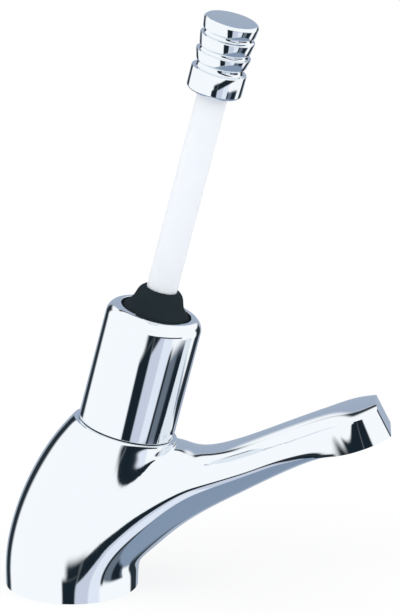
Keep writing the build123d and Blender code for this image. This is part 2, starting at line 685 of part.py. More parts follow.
def collar_sleeve():
    """Chrome sleeve over the head, seated on the rim, with a rounded top and the boot's opening."""
    inner = HOUSING_RADIUS + COLLAR_FIT
    solid = turned(
        (inner, RIM_LEVEL),
        (COLLAR_RADIUS, RIM_LEVEL),
        (COLLAR_RADIUS, COLLAR_TOP),
        (COLLAR_OPENING, COLLAR_TOP),
        (COLLAR_OPENING, COLLAR_TOP - COLLAR_LIP),
        (inner, COLLAR_TOP - COLLAR_LIP),
    )
    for radius, edge in ((COLLAR_RADIUS, COLLAR_EDGE), (COLLAR_OPENING, COLLAR_MOUTH_EDGE)):
        circles = solid.edges().filter_by(GeomType.CIRCLE)
        rims = [circle for circle in circles if abs(circle.radius - radius) < FREE]
        solid = fillet(ShapeList(rims).sort_by(Axis.Z)[-1], edge)
    return head * solid


def boot_clamp_ring():
    """Plain ring between the barrel's top and the boot's flange."""
    return head * ring(HOUSING_RADIUS - FREE, CLAMP_RING_BORE, HOUSING_TOP, HOUSING_TOP + CLAMP_RING_HEIGHT)


def boot():
    """Bell of rubber from its clamped flange up to the neck round the rod."""
    top = COLLAR_TOP + BOOT_STAND
    flange = COLLAR_TOP - COLLAR_LIP - BOOT_FLANGE_HEIGHT
    throat = COLLAR_OPENING - COLLAR_FIT
    height = top - flange - BOOT_FLANGE_HEIGHT
    side = [(throat * across, top - down * height) for down, across in BOOT_SHARES]
    inside = [(r - BOOT_WALL, z - BOOT_WALL / 2) for r, z in side[2:]]
    neck = ROD_RADIUS + BOOT_ROD_GAP
    solid = turned(
        (neck, top),
        *side,
        (throat, flange + BOOT_FLANGE_HEIGHT),
        (BOOT_FLANGE_RADIUS, flange + BOOT_FLANGE_HEIGHT),
        (BOOT_FLANGE_RADIUS, flange),
        (throat - BOOT_WALL, flange),
        *reversed(inside),
        (neck, inside[0][1]),
    )
    return head * solid


def lever_ball():
    """Ball foot with a spigot that runs up into the rod."""
    ball = Pos(0, 0, BALL_LEVEL) * Sphere(BALL_RADIUS)
    ball -= ring(BALL_RADIUS, 0, BALL_LEVEL + ROD_START, BALL_LEVEL + 2 * BALL_RADIUS)
    ball += ring(BALL_SPIGOT_RADIUS, 0, BALL_LEVEL, BALL_LEVEL + ROD_START + BALL_SPIGOT_HEIGHT)
    return head * ball


def lever_rod():
    """White plastic rod from the ball to the knob, bored at both ends."""
    bottom = BALL_LEVEL + ROD_START
    top = KNOB_BOTTOM + KNOB_SOCKET
    solid = ring(ROD_RADIUS, 0, bottom, top)
    solid -= ring(BALL_SPIGOT_RADIUS, 0, bottom - OVERRUN, bottom + BALL_SPIGOT_HEIGHT)
    solid -= ring(KNOB_STUD_RADIUS, 0, top - KNOB_STUD_DEPTH, top + OVERRUN)
    return head * solid


def knob_stud():
    """Stud that joins rod and knob."""
    top = KNOB_BOTTOM + KNOB_SOCKET
    return head * ring(KNOB_STUD_RADIUS, 0, top - KNOB_STUD_DEPTH, top + KNOB_STUD_DEPTH)


def lever_knob():
    """Turned knob with barbed ribs, bored for the rod and the stud."""
    side = [(KNOB_RADIUS * across, KNOB_TOP - KNOB_LENGTH * down) for down, across in KNOB_SHARES]
    solid = turned(
        (0, KNOB_TOP),
        (KNOB_RADIUS - KNOB_EDGE, KNOB_TOP),
        (KNOB_RADIUS, KNOB_TOP - KNOB_EDGE),
        *side,
        (KNOB_RADIUS, KNOB_BOTTOM + KNOB_EDGE),
        (KNOB_RADIUS - KNOB_EDGE, KNOB_BOTTOM),
        (0, KNOB_BOTTOM),
    )
    solid -= ring(ROD_RADIUS, 0, KNOB_BOTTOM - OVERRUN, KNOB_BOTTOM + KNOB_SOCKET)
    solid -= ring(KNOB_STUD_RADIUS, 0, KNOB_BOTTOM, KNOB_BOTTOM + KNOB_SOCKET + KNOB_STUD_DEPTH)
    return head * solid


def aerator_housing():
    """Chrome ring screwed into the outlet, with an inner lip at its mouth."""
    solid = turned(
        (OUTLET_RADIUS - AERATOR_WALL - AERATOR_LIP, 0),
        (OUTLET_RADIUS, 0),
        (OUTLET_RADIUS, -OUTLET_DEPTH + AERATOR_WASHER_HEIGHT),
        (OUTLET_RADIUS - AERATOR_WALL, -OUTLET_DEPTH + AERATOR_WASHER_HEIGHT),
        (OUTLET_RADIUS - AERATOR_WALL, -AERATOR_LIP),
        (OUTLET_RADIUS - AERATOR_WALL - AERATOR_LIP, -AERATOR_LIP),
    )
    return outlet_plane() * solid


def aerator_insert():
    """Perforated insert behind the housing's lip."""
    outer = OUTLET_RADIUS - AERATOR_WALL - FREE
    solid = ring(outer, 0, -AERATOR_LIP - AERATOR_INSERT_HEIGHT, -AERATOR_LIP)
    hole = ring(AERATOR_HOLE, 0, -AERATOR_LIP - AERATOR_INSERT_HEIGHT - OVERRUN, OVERRUN)
    holes = []
    for count, share in AERATOR_HOLE_SHARES:
        holes += [place * hole for place in PolarLocations(share * outer, count)]
    return outlet_plane() * (solid - holes)


def aerator_washer():
    """Rubber washer between the housing and the bottom of the outlet bore."""
    inner = OUTLET_RADIUS - AERATOR_WALL - AERATOR_LIP
    top = AERATOR_WASHER_HEIGHT - OUTLET_DEPTH
    return outlet_plane() * ring(OUTLET_RADIUS - FREE, inner, -OUTLET_DEPTH, top)


PARTS = (
    body_casting,
    base_gasket,
    inlet_filter,
    cartridge_body,
    nose_o_ring,
    cartridge_gasket,
    chamber_cap,
    timing_needle,
    lever_housing,
    collar_o_ring,
    collar_sleeve,
    socket_ring,
    socket_nut,
    boot_clamp_ring,
    boot,
    aerator_housing,
    aerator_insert,
    aerator_washer,
    valve_stem,
    valve_washer,
    washer_cup,
    washer_screw,
    piston,
    lip_seal,
    seal_clip,
    return_spring,
    plunger_cap,
    slip_washer,
    lever_ball,
    lever_rod,
    knob_stud,
    lever_knob,
)


def write_parts():
    """Each piece goes to a file of its own name."""
    os.makedirs("parts", exist_ok=True)
    for make in PARTS:
        export_step(make(), f"parts/{make.__name__}.step")


write_parts()
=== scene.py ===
"""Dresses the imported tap: smooth chrome casting, turned sleeve, rubber boot, rod, knob and return spring.

Metres, +Z up, +X towards the spout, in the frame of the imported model. The head leans towards the
spout: its pieces are turned upright about the Z axis and then stood on the leaning axis.
"""
import json
import math

import bmesh
import bpy
from mathutils import Matrix, Vector

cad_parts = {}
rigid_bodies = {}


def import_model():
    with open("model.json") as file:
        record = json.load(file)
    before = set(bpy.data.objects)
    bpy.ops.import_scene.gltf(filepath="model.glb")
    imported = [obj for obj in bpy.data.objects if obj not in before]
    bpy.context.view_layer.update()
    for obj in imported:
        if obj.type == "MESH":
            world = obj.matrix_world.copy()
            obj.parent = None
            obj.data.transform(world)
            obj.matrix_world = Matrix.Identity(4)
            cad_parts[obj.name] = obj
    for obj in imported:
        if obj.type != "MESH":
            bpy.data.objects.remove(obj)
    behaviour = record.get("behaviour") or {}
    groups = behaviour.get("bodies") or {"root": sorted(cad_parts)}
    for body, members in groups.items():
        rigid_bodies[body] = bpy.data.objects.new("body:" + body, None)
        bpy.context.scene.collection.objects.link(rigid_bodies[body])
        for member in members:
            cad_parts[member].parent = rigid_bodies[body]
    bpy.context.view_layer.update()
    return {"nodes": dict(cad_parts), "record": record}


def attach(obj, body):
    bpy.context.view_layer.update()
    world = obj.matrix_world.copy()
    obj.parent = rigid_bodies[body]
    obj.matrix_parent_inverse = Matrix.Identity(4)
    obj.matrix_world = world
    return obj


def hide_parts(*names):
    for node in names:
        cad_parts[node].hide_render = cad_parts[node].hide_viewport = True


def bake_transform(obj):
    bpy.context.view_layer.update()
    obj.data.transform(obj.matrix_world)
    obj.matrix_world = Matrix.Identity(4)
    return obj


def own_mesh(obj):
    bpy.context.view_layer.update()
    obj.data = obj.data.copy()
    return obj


bpy.ops.object.select_all(action="SELECT")
bpy.ops.object.delete()
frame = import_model()

bl_info = {
    "name": "Joystick Basin Tap",
    "version": (1, 0, 0),
    "blender": (4, 5, 0),
    "location": "3D View > Sidebar > Tap",
    "description": "Models the visible pieces of a self-closing basin tap over its packed frame",
    "category": "Add Mesh",
}

MM = 0.001
POLE = 0.0005 * MM  # radius of a ring that is merged into a pole
ON_DECK = 0.01 * MM  # what lies lower lies on the deck

# The leaning axis of the head
HEAD_TILT = math.radians(14.0)
HEAD_FOOT = 5.2 * MM
LEAN = Matrix.Translation((HEAD_FOOT, 0, 0)) @ Matrix.Rotation(HEAD_TILT, 4, "Y")

# Levels along the leaning axis; the return spring stands between the guide and the piston
SLEEVE_FOOT, SLEEVE_TOP = 66.6 * MM, 115.4 * MM
BOOT_TOP = 124.4 * MM
GUIDE_TOP, PISTON_BOTTOM = 45.0 * MM, 62.0 * MM
ROD_BOTTOM, ROD_TOP = 101.9 * MM, 218.6 * MM
KNOB_BOTTOM, KNOB_TOP = 206.6 * MM, 236.4 * MM

# The outlet under the head of the spout
OUTLET_TILT = math.radians(-19.5)
OUTLET = Matrix.Translation((113.4 * MM, 0, 59.32 * MM)) @ Matrix.Rotation(OUTLET_TILT, 4, "Y")
OUTLET_DEPTH = 9.0 * MM

# Rings of the casting's tower from the deck up: centre along X, height, turn in degrees, radius along
# X and across
TOWER_RINGS = (
    (0.0, 0.0, 0.0, 26.6, 26.5),
    (0.0, 6.5, 0.0, 26.8, 26.8),
    (0.9, 12.5, 1.0, 26.6, 26.3),
    (3.4, 30.0, 3.0, 25.2, 24.9),
    (13.0, 52.0, 11.0, 22.9, 21.1),
    (20.2, 60.6, 14.0, 22.4, 20.5),
    (21.15, 64.1, 14.0, 21.3, 20.3),
    (21.3, 64.75, 14.0, 19.2, 19.1),
)
RING_SIDES = 16
RIM_RING = 6  # the rim under the sleeve, and how sharp its edge stays
RIM_CREASE = 0.5
SPOUT_COLUMNS = 3  # each side of the middle
ROOT_RINGS = (2, 4)  # the spout grows out of the faces between these rings
# Where the spout's corners leave these rings, at the underside and at the top
ROOT_CORNERS = ((13.0, 25.4, 20.0), (27.5, 20.0, 50.5))
# How far the upper ring and the one above it rise towards the next one behind the spout, by column
CREST_LIFT = {0: (0.85, 0.9), 1: (0.85, 0.9), 2: (0.5, 0.4)}

# Stations of the spout: keel x and z, crest x and z, half width at the underside's corner and at the
# crest, how far up the corner stands (share of the height) and how far the crest's edges lie below it
SPOUT_STATIONS = (
    (31.5, 13.0, 44.4, 58.0, 20.4, 15.8, 0.56, 4.4),
    (40.5, 22.6, 49.2, 54.8, 17.8, 15.0, 0.55, 4.4),
    (52.0, 29.8, 57.5, 55.8, 15.4, 13.0, 0.53, 4.4),
    (66.0, 37.2, 68.5, 59.4, 14.2, 12.0, 0.47, 4.2),
    (80.0, 44.7, 80.5, 64.1, 13.6, 11.8, 0.40, 4.0),
    (92.5, 50.8, 91.0, 68.2, 13.3, 11.8, 0.26, 3.8),
    (103.5, 55.7, 100.8, 71.7, 13.2, 11.8, 0.04, 3.6),
    (108.6, 57.7, 105.4, 73.0, 13.5, 13.3, 0.0, 3.2),
    (113.0, 59.4, 109.2, 73.9, 14.2, 14.2, 0.0, 3.0),
    (118.5, 61.3, 113.5, 74.9, 13.4, 13.3, 0.0, 2.8),
    (124.2, 63.2, 118.0, 75.9, 10.8, 10.7, 0.0, 2.6),
)
# The underside's corners grow sharp from the first of these stations to the second
SHARP_FROM, SHARP_FULL = 4, 6
LEAST_CREASE = 0.25
# The crest's edges grow sharper from here to the end; beyond the other two lie the end's own edges
CREST_FROM, CREST_FADE = 50.0 * MM, 60.0 * MM
END_CREST, END_KEEL = 117.0 * MM, 123.7 * MM

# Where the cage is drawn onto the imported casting: up to here along X, from here up, and the fade
WRAP_END, WRAP_BOTTOM, WRAP_FADE = 4.0 * MM, 3.0 * MM, 10.0 * MM

# Where the root of the spout is smoothed, along X and in height, and how softly that ends
ROOT_START, ROOT_END, ROOT_FADE = 16.0 * MM, 66.0 * MM, 8.0 * MM
ROOT_FLOOR, ROOT_CEILING, ROOT_RISE = 14.0 * MM, 54.0 * MM, 3.0 * MM
SMOOTHING = 0.5

# Bores of the casting along the leaning axis: radius, bottom and top level
HEAD_BORES = ((15.5, 33.0, 69.0), (17.0, 58.0, 69.0), (10.0, 17.0, 35.0))
# Bores from the deck: place along X, radius, depth
DECK_BORES = ((0.0, 8.33, 11.0), (0.0, 7.2, 13.0), (2.5, 4.6, 20.0), (-14.5, 4.0, 14.0))
# Bosses left standing in the hollow under the base: place along X and radius
DECK_BOSSES = ((0.0, 10.93), (-14.5, 6.5))
# Radius and height of the hollow; outer and inner radius and depth of the groove for the gasket
HOLLOW = (19.0 * MM, 8.0 * MM)
GASKET_GROOVE = (24.2 * MM, 20.4 * MM, 1.6 * MM)
# Start, end and radius of the waterway through the spout
WATERWAY = (Vector((30.1, 0, 34.5)) * MM, Vector((109.0, 0, 64.5)) * MM, 4.0 * MM)
OVERRUN = 2.0 * MM  # how far a cutter runs past the face that it opens

SLEEVE_BORE = 17.1 * MM
EDGE_STEPS = 12
BEVEL_STEPS = 3
# Edges that turn by more than this are rounded; the knob's are finer
SHARP, FINE = math.radians(40), math.radians(12)
# Shading is smooth up to these degrees
SMOOTH_METAL, SMOOTH_SOFT, SMOOTH_KNOB = 35, 50, 25
# Sides of what is turned, bored and wound
SLEEVE_SIDES, BOOT_SIDES, ROD_SIDES, KNOB_SIDES, BORE_SIDES = 160, 128, 96, 144, 96
WIRE_SIDES, COIL_STEPS = 16, 48

# Side of the boot from its top: how far down, and radius
BOOT_SIDE = ((0.0, 6.6), (0.4, 7.4), (1.3, 8.4), (2.6, 9.1), (4.2, 9.6), (5.8, 10.2), (7.2, 11.2),
             (8.4, 12.3), (9.3, 12.9), (10.4, 13.1))
BOOT_STEPS = 8
BOOT_NECK = 6.15 * MM
BOOT_FLANGE = 16.6 * MM
BOOT_FLANGE_HEIGHT = 1.5 * MM
# The boot's bands from the bottom up, the two bodies between which each lies, and the levels between them
BOOT_CUTS = (117.2 * MM, 120.8 * MM)
BOOT_BANDS = (
    ("boot_skirt", "housing", "plunger"),
    ("boot_waist", "plunger", "slip"),
    ("boot_neck", "slip", "lever"),
)

# Rod and knob
ROD_EDGE = 0.3 * MM
SPIGOT_RADIUS = 3.5 * MM
SPIGOT_DEPTH = 14.0 * MM
STUD_RADIUS = 2.5 * MM
STUD_DEPTH = 9.0 * MM
KNOB_BREAK = 0.9 * MM
# Side of the knob from its top, as shares of its length and radius
KNOB_SHARES = (
    (0.163, 0.955),
    (0.170, 0.880),
    (0.217, 0.880),
    (0.237, 1.000),
    (0.393, 0.925),
    (0.407, 0.880),
    (0.450, 0.880),
    (0.455, 1.000),
    (0.597, 0.905),
    (0.612, 0.850),
    (0.680, 0.850),
    (0.692, 1.000),
)

SPRING_REST = 0.05 * MM  # clearance at each end of the return spring

# What the chrome sees, painted in turn over white: colour, from and to in degrees round the tap (0 at
# the camera, positive to the right), softness there, from and to above the horizon, and softness there
WHITE = (1.0, 1.0, 1.0)
STUDIO_PATCHES = (
    ("floor", (0.24, 0.31, 0.41), (-200, 200, 10), (-100, -42, 5)),
    ("right wall", (0.60, 0.64, 0.74), (3, 30, 8), (-42, -19, 3)),
    ("right curtain", (0.80, 0.84, 0.92), (30, 50, 8), (-42, -19, 3)),
    ("slit", (0.010, 0.018, 0.026), (-17, 5, 4), (-42, -15.5, 3)),
    ("top of the slit", (0.010, 0.018, 0.026), (-11, 6, 8), (-17, -10, 4)),
    ("edge of the floor", (0.010, 0.018, 0.026), (4, 75, 6), (-19.5, -10.8, 1.5)),
    ("low flag", (0.14, 0.17, 0.21), (50, 104, 6), (-44, -29.5, 3)),
    ("low stripe", (0.012, 0.020, 0.030), (50, 56, 4), (-44, -28, 2)),
    ("side flag", (0.010, 0.018, 0.028), (74, 98, 8), (-44, -30.5, 3)),
    ("behind right", (0.37, 0.43, 0.53), (154, 200, 10), (-42, 44, 6)),
    ("behind left", (0.37, 0.43, 0.53), (-200, -157, 10), (-42, 44, 6)),
    ("line behind right", (0.03, 0.04, 0.05), (150, 200, 10), (44, 50, 3)),
    ("line behind left", (0.03, 0.04, 0.05), (-200, -150, 10), (44, 50, 3)),
    ("right flag", (0.020, 0.030, 0.040), (126, 154, 8), (-46, 6, 8)),
    ("left flag", (0.020, 0.030, 0.040), (-158, -134, 10), (-42, 24, 12)),
)
# Lamps: place, size and share of the key lamp's power
LAMPS = (
    ("key", (-1.6, -1.4, 2.2), 1.6, 1.0),
    ("fill", (1.9, -1.2, 1.4), 1.8, 0.6),
)
LAMPS_LOOK_AT = Vector((0.04, 0, 0.1))

FLOOR_SIZE = 6.0
FLOOR_COLOURS = ((0.90, 0.90, 0.91), (0.93, 0.93, 0.94))
FLOOR_GLOW = 0.75  # how far the camera sees the floor as plain white

# Mark of a finish that is made here, and what the frame's material of the same name is called then
FINISHED, PLAIN = "finished", "plain_"
# Finishes: depth of the waves in the chrome; colour, roughness and tool lines of turned metals;
# colour, roughness, grain and its depth of moulded pieces
CHROME_ROUGHNESS = 0.04
CHROME_WIPES = (0.03, 0.055)
CHROME_WAVES = {
    "body_chrome": 0.05 * MM,
    "sleeve_chrome": 0.01 * MM,
    "knob_chrome": 0.01 * MM,
    "aerator_chrome": 0.01 * MM,
    "ball_chrome": 0.005 * MM,
}
TURNED_METALS = {
    "turned_brass": ((0.78, 0.57, 0.26), 0.28, 900.0),
    "steel": ((0.62, 0.62, 0.64), 0.24, 1100.0),
    "spring_steel": ((0.50, 0.50, 0.53), 0.32, 1500.0),
}
MOULDED = {
    "white_acetal": ((0.86, 0.86, 0.84), 0.45, 1100.0, 0.01 * MM),
    "aerator_plastic": ((0.50, 0.54, 0.58), 0.40, 1000.0, 0.01 * MM),
    "seal_rubber": ((0.030, 0.030, 0.032), 0.60, 1300.0, 0.02 * MM),
    "fibre": ((0.42, 0.17, 0.10), 0.80, 700.0, 0.04 * MM),
}
# Roughness, grain, its depth and the darkest shade of the two skins whose colour a user sets
ROD_SKIN = (0.60, 900.0, 0.01 * MM, 0.98)
BOOT_SKIN = (0.70, 1400.0, 0.01 * MM, 0.85)
ROD_SPECULAR, BOOT_SPECULAR = 0.15, 0.05
ROD_GLOW = 0.7  # how much of the light goes into the rod, how deep, and how far each colour comes
ROD_GLOW_DEPTH = 4.0 * MM
ROD_GLOW_REACH = (1.0, 0.9, 0.8)
ROD_IOR = 1.49

PHOTO = (400, 615)
PHOTO_SCALE = 2.56  # pixels to a millimetre
PHOTO_ORIGIN = (72.0, 581.7)  # the pixel at which the middle of the deck lies
NEAREST = 0.1
COLOUR_A, COLOUR_B, COLOUR_MADE = 6, 7, 2  # a mix node's sockets for colours


class TapCastingSettings(bpy.types.PropertyGroup):
    """Sizes of the casting that a user would change."""

    smoothness: bpy.props.IntProperty(
        name="Smoothness", description="Times the casting is subdivided after it is fitted",
        default=2, min=1, max=3)
    blend: bpy.props.IntProperty(
        name="Root blend", description="Rounds of smoothing where the spout leaves the tower",
        default=6, min=0, max=30)
    outlet_radius: bpy.props.FloatProperty(
        name="Outlet radius", description="Radius of the outlet bore",
        default=9.25 * MM, unit="LENGTH", precision=5)


class TapHeadSettings(bpy.types.PropertyGroup):
    """Sizes of the sleeve and the boot."""

    sleeve_radius: bpy.props.FloatProperty(
        name="Sleeve radius", description="Outer radius of the sleeve",
        default=18.95 * MM, unit="LENGTH", precision=5)
    sleeve_edge: bpy.props.FloatProperty(
        name="Sleeve edge", description="Radius of the sleeve's upper edge",
        default=4.7 * MM, unit="LENGTH", precision=5)
    opening: bpy.props.FloatProperty(
        name="Opening", description="Radius of the opening for the boot",
        default=14.0 * MM, unit="LENGTH", precision=5)
    sleeve_lip: bpy.props.FloatProperty(
        name="Sleeve lip", description="Thickness of the lip over the boot",
        default=1.4 * MM, unit="LENGTH", precision=5)
    fine_edge: bpy.props.FloatProperty(
        name="Fine edge", description="Rounding of the sleeve's small edges",
        default=0.3 * MM, unit="LENGTH", precision=5)
    boot_wall: bpy.props.FloatProperty(
        name="Boot wall", description="Thickness of the rubber", default=1.3 * MM, unit="LENGTH", precision=5)


class TapLeverSettings(bpy.types.PropertyGroup):
    """Sizes of the rod and the knob."""

    rod_radius: bpy.props.FloatProperty(
        name="Rod radius", description="Radius of the plastic rod",
        default=6.0 * MM, unit="LENGTH", precision=5)
    knob_radius: bpy.props.FloatProperty(
        name="Knob radius", description="Radius of the knob's bands",
        default=10.9 * MM, unit="LENGTH", precision=5)
    knob_edge: bpy.props.FloatProperty(
        name="Knob edges", description="Rounding of the knob's edges",
        default=0.3 * MM, unit="LENGTH", precision=5)


class TapSpringSettings(bpy.types.PropertyGroup):
    """Sizes of the return spring."""

    turns: bpy.props.IntProperty(name="Turns", description="Turns of the spring", default=5, min=2, max=12)
    radius: bpy.props.FloatProperty(
        name="Radius", description="Radius to the middle of the wire",
        default=9.0 * MM, unit="LENGTH", precision=5)
    wire: bpy.props.FloatProperty(
        name="Wire", description="Diameter of the wire", default=1.6 * MM, unit="LENGTH", precision=5)


class TapFinishSettings(bpy.types.PropertyGroup):
    """Colours of the finishes."""

    chrome: bpy.props.FloatVectorProperty(
        name="Chrome", description="Colour of the chrome plate",
        default=(0.80, 0.84, 0.88), subtype="COLOR", size=3)
    rubber: bpy.props.FloatVectorProperty(
        name="Rubber", description="Colour of the boot",
        default=(0.014, 0.022, 0.027), subtype="COLOR", size=3)
    rod: bpy.props.FloatVectorProperty(
        name="Rod", description="Colour of the rod", default=(0.76, 0.79, 0.83), subtype="COLOR", size=3)


class TapStudioSettings(bpy.types.PropertyGroup):
    """Camera and light."""

    elevation: bpy.props.FloatProperty(
        name="Camera elevation", description="Camera's angle above the horizon", default=math.radians(18.5),
        subtype="ANGLE")
    distance: bpy.props.FloatProperty(
        name="Camera distance", description="From the camera to the tap", default=4.0, unit="LENGTH")
    strength: bpy.props.FloatProperty(
        name="Studio strength", description="Brightness of the light boxes", default=1.12, min=0.0)
    lamp_power: bpy.props.FloatProperty(
        name="Lamp power", description="Power of the key lamp",
        default=10.0, min=0.0, subtype="POWER", unit="POWER")


def fresh(add, name, **place):
    """Adds a primitive with nothing else selected and names it."""
    bpy.ops.object.select_all(action="DESELECT")
    add(**place)
    piece = bpy.context.object
    piece.name = piece.data.name = name
    return piece


def choose(piece):
    """Makes a piece the only selected and the active one."""
    bpy.ops.object.select_all(action="DESELECT")
    piece.select_set(True)
    bpy.context.view_layer.objects.active = piece


def select_where(piece, kind, wanted):
    """In edit mode, selects only the vertices, edges or faces whose middle answers the question."""
    bpy.ops.mesh.select_mode(type=kind)
    bpy.ops.mesh.select_all(action="DESELECT")
    mesh = bmesh.from_edit_mesh(piece.data)
    parts = {"VERT": mesh.verts, "EDGE": mesh.edges, "FACE": mesh.faces}[kind]
    for part in parts:
        corners = [part] if kind == "VERT" else part.verts
        if wanted(sum((corner.co for corner in corners), Vector()) / len(corners)):
            part.select_set(True)
    bmesh.update_edit_mesh(piece.data)


def apply_modifier(piece, kind, **settings):
    """Adds a modifier with its settings and applies it."""
    choose(piece)
    bpy.ops.object.modifier_add(type=kind)
    modifier = piece.modifiers[-1]
    for name, value in settings.items():
        setattr(modifier, name, value)
    bpy.ops.object.modifier_apply(modifier=modifier.name)


def round_edges(piece, width, above):
    """Rounds the edges that turn by more than an angle."""
    apply_modifier(piece, "BEVEL", width=width, segments=BEVEL_STEPS, limit_method="ANGLE", angle_limit=above)


def settle(piece, place=None):
    """Puts the piece's place into its mesh, so that its object sits at the origin."""
    choose(piece)
    if place is not None:
        piece.matrix_world = place @ piece.matrix_world
    bpy.ops.object.transform_apply(location=True, rotation=True, scale=True)


def smooth(piece, degrees=SMOOTH_METAL):
    """Smooth shading up to an angle."""
    choose(piece)
    bpy.ops.object.shade_smooth_by_angle(angle=math.radians(degrees))


def arc(centre, radius, start, end, steps):
    """Points of a turned outline along an arc, angles in degrees from outwards to upwards."""
    points = []
    for step in range(steps + 1):
        angle = math.radians(start + (end - start) * step / steps)
        points.append((centre[0] + radius * math.cos(angle), centre[1] + radius * math.sin(angle)))
    return points


def turn(name, outline, sides, closed=True):
    """Turns an outline of (radius, level) points by extruding a ring from point to point."""
    outline = [(max(radius, POLE), level) for radius, level in outline]
    if closed and outline[-1] != outline[0]:
        outline.append(outline[0])
    radius, level = outline[0]
    piece = fresh(bpy.ops.mesh.primitive_circle_add, name, vertices=sides, radius=radius, location=(0, 0, 0))
    bpy.ops.object.mode_set(mode="EDIT")
    bpy.ops.mesh.select_all(action="SELECT")
    bpy.ops.transform.translate(value=(0, 0, level))
    for next_radius, next_level in outline[1:]:
        bpy.ops.mesh.extrude_region_move(TRANSFORM_OT_translate={"value": (0, 0, next_level - level)})
        scale = next_radius / radius
        bpy.ops.transform.resize(value=(scale, scale, 1), center_override=(0, 0, next_level))
        radius, level = next_radius, next_level
    bpy.ops.mesh.select_all(action="SELECT")
    bpy.ops.mesh.remove_doubles(threshold=2 * POLE)
    bpy.ops.mesh.normals_make_consistent(inside=False)
    bpy.ops.object.mode_set(mode="OBJECT")
    return piece


def labels(mesh):
    """The row and the column that each vertex of the cage remembers."""
    return mesh.verts.layers.int["row"], mesh.verts.layers.int["column"]


def fade(distance, length):
    """How far a distance has come along a length, from zero to one."""
    return min(1.0, max(0.0, distance / length))


def place_section(piece, station, rows):
    """Moves the selected patch of the casting to a station: its rows run from keel to crest."""
    corner = station[6]
    sizes = [value * MM for value in (*station[:6], station[7])]
    keel_x, keel_z, crest_x, crest_z, wide, narrow, drop = sizes
    mesh = bmesh.from_edit_mesh(piece.data)
    row_of, column_of = labels(mesh)
    keel, crest = Vector((keel_x, 0, keel_z)), Vector((crest_x, 0, crest_z))
    round_share = drop / (crest - keel).length
    for vertex in mesh.verts:
        if not vertex.select:
            continue
        row, column = vertex[row_of], vertex[column_of]
        across = column / SPOUT_COLUMNS
        if row == rows[0]:
            up, half = corner * across ** 2, wide
        elif row == rows[-1]:
            up, half = 1.0 - round_share * across ** 2, narrow
        else:
            up, half = (corner + 1.0 - round_share) / 2, (wide + narrow) / 2
        place = keel.lerp(crest, up)
        vertex.co = (place.x, across * half, place.z)
    bmesh.update_edit_mesh(piece.data)


def shape_root(piece):
    """Moves the rings to the spout's corners, and lifts the upper ones towards the rim above the spout."""
    mesh = bmesh.from_edit_mesh(piece.data)
    row_of, column_of = labels(mesh)
    places = {(vertex[row_of], vertex[column_of]): vertex for vertex in mesh.verts}
    high = ROOT_RINGS[1]
    for side in (-1, 1):
        for row, (x, y, z) in zip(ROOT_RINGS, ROOT_CORNERS):
            places[row, side * SPOUT_COLUMNS].co = Vector((x, side * y, z)) * MM
        for column, shares in CREST_LIFT.items():
            if column or side > 0:
                for row, share in zip((high, high + 1), shares):
                    vertex = places[row, side * column]
                    vertex.co = vertex.co.lerp(places[high + 2, side * column].co, share)
    bmesh.update_edit_mesh(piece.data)


def casting_cage():
    """Extrudes the tower ring by ring, and then the spout out of its front, station by station."""
    foot_radius = TOWER_RINGS[0][3] * MM
    side_angle = 2 * math.pi / RING_SIDES
    piece = fresh(bpy.ops.mesh.primitive_circle_add, "casting", vertices=RING_SIDES, radius=foot_radius,
                  location=(0, 0, 0), rotation=(0, 0, math.pi / 2))
    bpy.ops.object.transform_apply(location=False, rotation=True, scale=False)
    bpy.ops.object.mode_set(mode="EDIT")
    mesh = bmesh.from_edit_mesh(piece.data)
    mesh.verts.layers.int.new("row")
    column_of = mesh.verts.layers.int.new("column")
    for vertex in mesh.verts:
        vertex[column_of] = round(math.atan2(vertex.co.y, vertex.co.x) / side_angle)
    bmesh.update_edit_mesh(piece.data)
    bpy.ops.mesh.select_all(action="SELECT")
    for number, (x, z, turned, along, across) in enumerate(TOWER_RINGS[1:], 1):
        bpy.ops.mesh.extrude_region_move()
        place = Matrix.Translation((x * MM, 0, z * MM)) @ Matrix.Rotation(math.radians(turned), 4, "Y")
        mesh = bmesh.from_edit_mesh(piece.data)
        row_of, column_of = labels(mesh)
        for vertex in mesh.verts:
            if vertex.select:
                angle = vertex[column_of] * side_angle
                vertex.co = place @ (Vector((math.cos(angle) * along, math.sin(angle) * across, 0)) * MM)
                vertex[row_of] = number
        bmesh.update_edit_mesh(piece.data)
    bpy.ops.mesh.edge_face_add()
    shape_root(piece)
    bpy.ops.mesh.select_mode(type="FACE")
    bpy.ops.mesh.select_all(action="DESELECT")
    mesh = bmesh.from_edit_mesh(piece.data)
    row_of, column_of = labels(mesh)
    low, high = ROOT_RINGS
    for face in mesh.faces:
        rows = [v[row_of] for v in face.verts]
        columns = [v[column_of] for v in face.verts]
        if min(rows) >= low and max(rows) <= high and max(map(abs, columns)) <= SPOUT_COLUMNS:
            face.select_set(True)
    bmesh.update_edit_mesh(piece.data)
    rows = range(low, high + 1)
    for station in SPOUT_STATIONS:
        bpy.ops.mesh.extrude_region_move()
        place_section(piece, station, rows)
    select_where(piece, "EDGE", lambda middle: middle.z < ON_DECK)
    bpy.ops.mesh.edge_face_add()
    bpy.ops.mesh.select_all(action="SELECT")
    bpy.ops.mesh.normals_make_consistent(inside=False)
    bpy.ops.object.mode_set(mode="OBJECT")
    return piece


